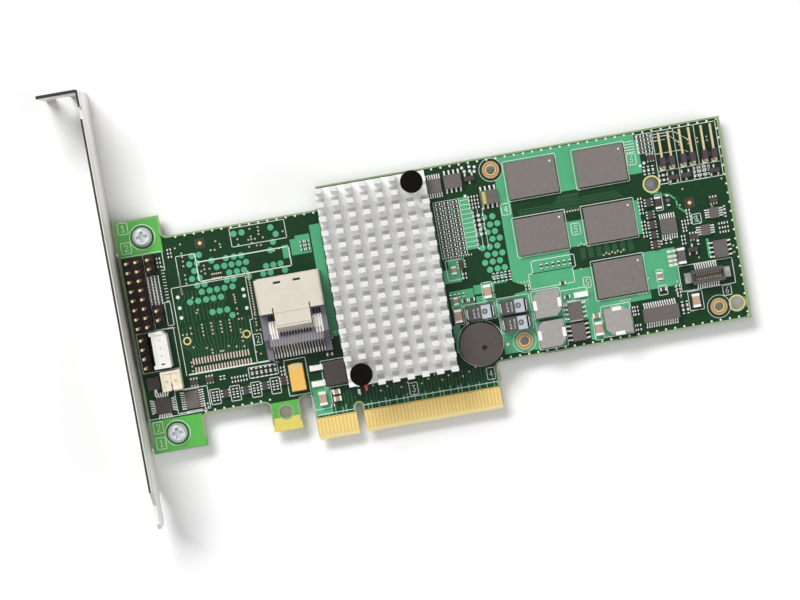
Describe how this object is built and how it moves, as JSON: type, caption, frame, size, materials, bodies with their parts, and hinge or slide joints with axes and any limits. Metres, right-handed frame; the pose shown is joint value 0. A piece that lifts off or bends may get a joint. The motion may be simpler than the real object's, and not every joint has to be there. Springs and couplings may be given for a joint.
{
  "type": "raid controller card",
  "caption": "Low-profile storage controller circuit card on a full-height slot bracket, with pin-fin heat sink, memory chips, drive port, pin headers and gold edge fingers",
  "frame": {"origin": "centre line of the key notch, on the tip of the edge fingers, on the component face of the card", "axes": "+X along the card away from the bracket, +Y from the fingers towards the card's top edge, +Z out of the component side"},
  "size_m": [0.1799, 0.1201, 0.0184],
  "materials": {
    "board": "glossy solder mask over glass laminate",
    "gold": "gold plated",
    "tin": "tinned",
    "steel_sheet": "zinc plated sheet",
    "screw_steel": "zinc plated",
    "sink_aluminium": "sawn and deburred",
    "package_black": "moulded epoxy",
    "package_brown": "moulded epoxy",
    "substrate_green": "laminate",
    "silicon": "polished",
    "pad_grey": "soft",
    "pin_black": "moulded nylon",
    "spring_steel": "bright wire",
    "shield_steel": "tin plated sheet",
    "port_plastic": "glass filled moulding",
    "header_plastic": "glass filled moulding",
    "white_plastic": "moulded nylon",
    "beige_plastic": "moulded nylon",
    "stack_plastic": "glass filled moulding",
    "tantalum_orange": "moulded",
    "capacitor_black": "moulded",
    "ferrite": "pressed ferrite",
    "sounder_black": "moulded",
    "ceramic_brown": "fired ceramic",
    "led_red": "clear resin",
    "chip_dark": "glazed alumina"
  },
  "bodies": {
    "root": {"circuit_board": "board", "edge_contacts": "gold", "plated_rings": "tin", "bracket": "steel_sheet", "bracket_screws": "screw_steel", "controller_package": "substrate_green", "controller_die": "silicon", "thermal_pad": "pad_grey", "heat_sink": "sink_aluminium", "push_pins": "pin_black", "push_pin_springs": "spring_steel", "port_shield": "shield_steel", "port_body": "port_plastic", "port_tails": "tin", "io_header": "header_plastic", "io_header_pins": "gold", "jumper_headers": "header_plastic", "jumper_header_pins": "gold", "led_header": "header_plastic", "led_header_pins": "gold", "wafer_connector": "white_plastic", "wafer_pins": "tin", "battery_connector": "beige_plastic", "battery_pins": "gold", "angle_headers": "header_plastic", "angle_header_pins": "gold", "stack_connector": "stack_plastic", "stack_contacts": "tin", "stack_tabs": "tin", "logic_chips": "package_black", "power_transistors": "package_black", "driver_chips": "package_black", "power_controller": "package_black", "buffer_chip": "package_black", "sensor_chips": "package_black", "switch_chip": "package_black", "small_transistors": "package_black", "wide_leads": "tin", "fine_leads": "tin", "transistor_leads": "tin", "leadless_chip": "package_black", "power_regulator": "package_black", "polymer_capacitors": "capacitor_black", "tantalum_capacitor": "tantalum_orange", "capacitor_terminals": "tin", "power_inductors": "ferrite", "inductor_terminals": "tin", "sounder": "sounder_black", "ceramic_capacitors": "ceramic_brown", "ceramic_terminals": "tin", "protection_diode": "package_black", "diode_ends": "tin", "status_led": "led_red", "chip_parts": "chip_dark", "memory_chip_1": "package_brown", "memory_chip_2": "package_brown", "memory_chip_3": "package_brown", "memory_chip_4": "package_brown", "memory_chip_5": "package_brown"}
  },
  "joints": []
}
